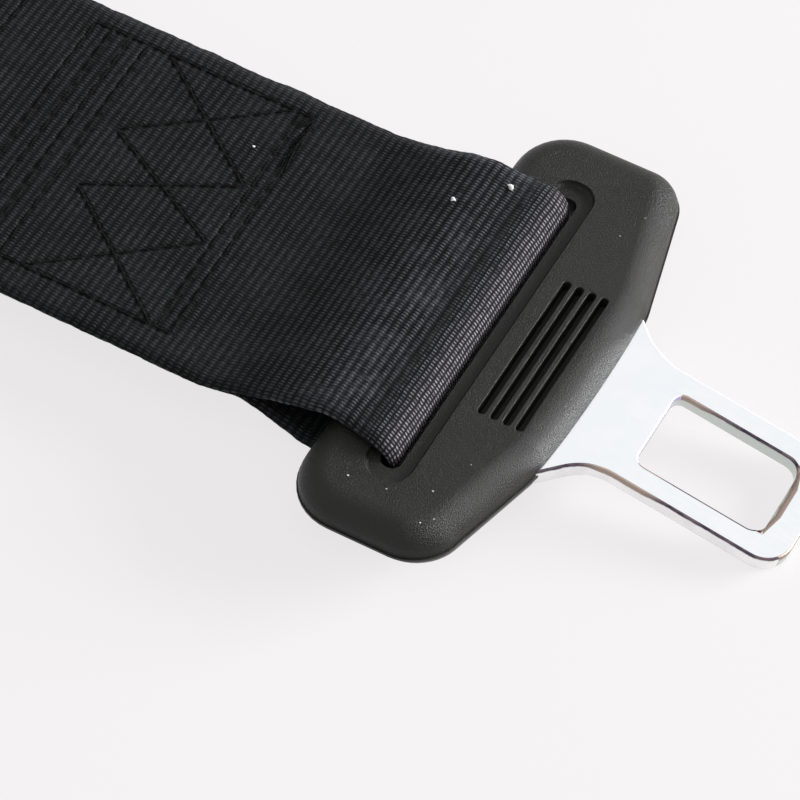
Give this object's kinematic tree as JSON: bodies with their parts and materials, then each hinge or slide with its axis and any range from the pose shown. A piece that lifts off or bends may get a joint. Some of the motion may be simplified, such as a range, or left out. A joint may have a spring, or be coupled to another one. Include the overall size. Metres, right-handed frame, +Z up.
{
  "type": "seat belt extender",
  "caption": "Seat belt extender: a steel tongue in a moulded plastic head, a looped and sewn strap of webbing, and a push-button buckle with latch and ejector.",
  "frame": {"origin": "on the surface that the extender lies on, under the middle of its length and width", "axes": "+X runs along the strap towards the tongue's tip, +Y across the strap, +Z up out of the surface"},
  "size_m": [0.2512, 0.0684, 0.025],
  "materials": {
    "plated_steel": "bright plating over a stamped blank, with darker coined and sheared edges",
    "head_plastic": "charcoal moulded plastic with a fine grain, slightly polished on its rounded edges",
    "casing_plastic": "charcoal moulded plastic with a fine grain",
    "black_webbing": "woven polyester with crosswise ribs",
    "black_thread": "bonded sewing thread",
    "zinc_steel": "zinc plated steel",
    "natural_plastic": "unpainted acetal",
    "red_plastic": "satin red moulded plastic",
    "spring_wire": "drawn spring wire"
  },
  "bodies": {
    "strap_and_buckle": {"webbing": "black_webbing", "tongue_end_stitching": "black_thread", "buckle_end_stitching": "black_thread", "buckle_lower_cover": "casing_plastic", "buckle_upper_cover": "casing_plastic", "buckle_frame": "zinc_steel", "webbing_guard": "natural_plastic", "casing_screw_front_left": "zinc_steel", "casing_screw_front_right": "zinc_steel", "casing_screw_rear_left": "zinc_steel", "casing_screw_rear_right": "zinc_steel", "latch_pivot_pin": "zinc_steel", "button_spring_left": "spring_wire", "button_spring_right": "spring_wire", "latch_spring": "spring_wire", "ejector_spring": "spring_wire"},
    "tongue": {"tongue_plate": "plated_steel", "tongue_head": "head_plastic"},
    "latch": {"latch": "zinc_steel", "lift_pin": "zinc_steel"},
    "button": {"release_button": "red_plastic"},
    "ejector": {"ejector": "natural_plastic"}
  },
  "joints": [
    {"name": "tongue_swing", "type": "hinge", "parent": "strap_and_buckle", "child": "tongue", "pos_m": [0.07264, 0, 0.0072], "axis": [0, 1, 0], "range_deg": [-6, 6]},
    {"name": "button_press", "type": "slide", "parent": "strap_and_buckle", "child": "button", "axis": [1, 0, 0], "range_m": [0, 0.0045], "stiffness_N_per_m": 1500, "springref_m": -0.002, "deforming": ["button_spring_left", "button_spring_right"]},
    {"name": "latch_lift", "type": "hinge", "parent": "strap_and_buckle", "child": "latch", "pos_m": [-0.08076, 0, 0.01355], "axis": [0, 1, 0], "range_deg": [0, 9], "deforming": ["latch_spring"]},
    {"name": "ejector_slide", "type": "slide", "parent": "strap_and_buckle", "child": "ejector", "axis": [1, 0, 0], "range_m": [0, 0.009], "stiffness_N_per_m": 300, "springref_m": -0.004, "deforming": ["ejector_spring"]}
  ],
  "couplings": [
    {"joint": "latch_lift", "follows": "button_press", "rad_per_m": 34.903}
  ]
}
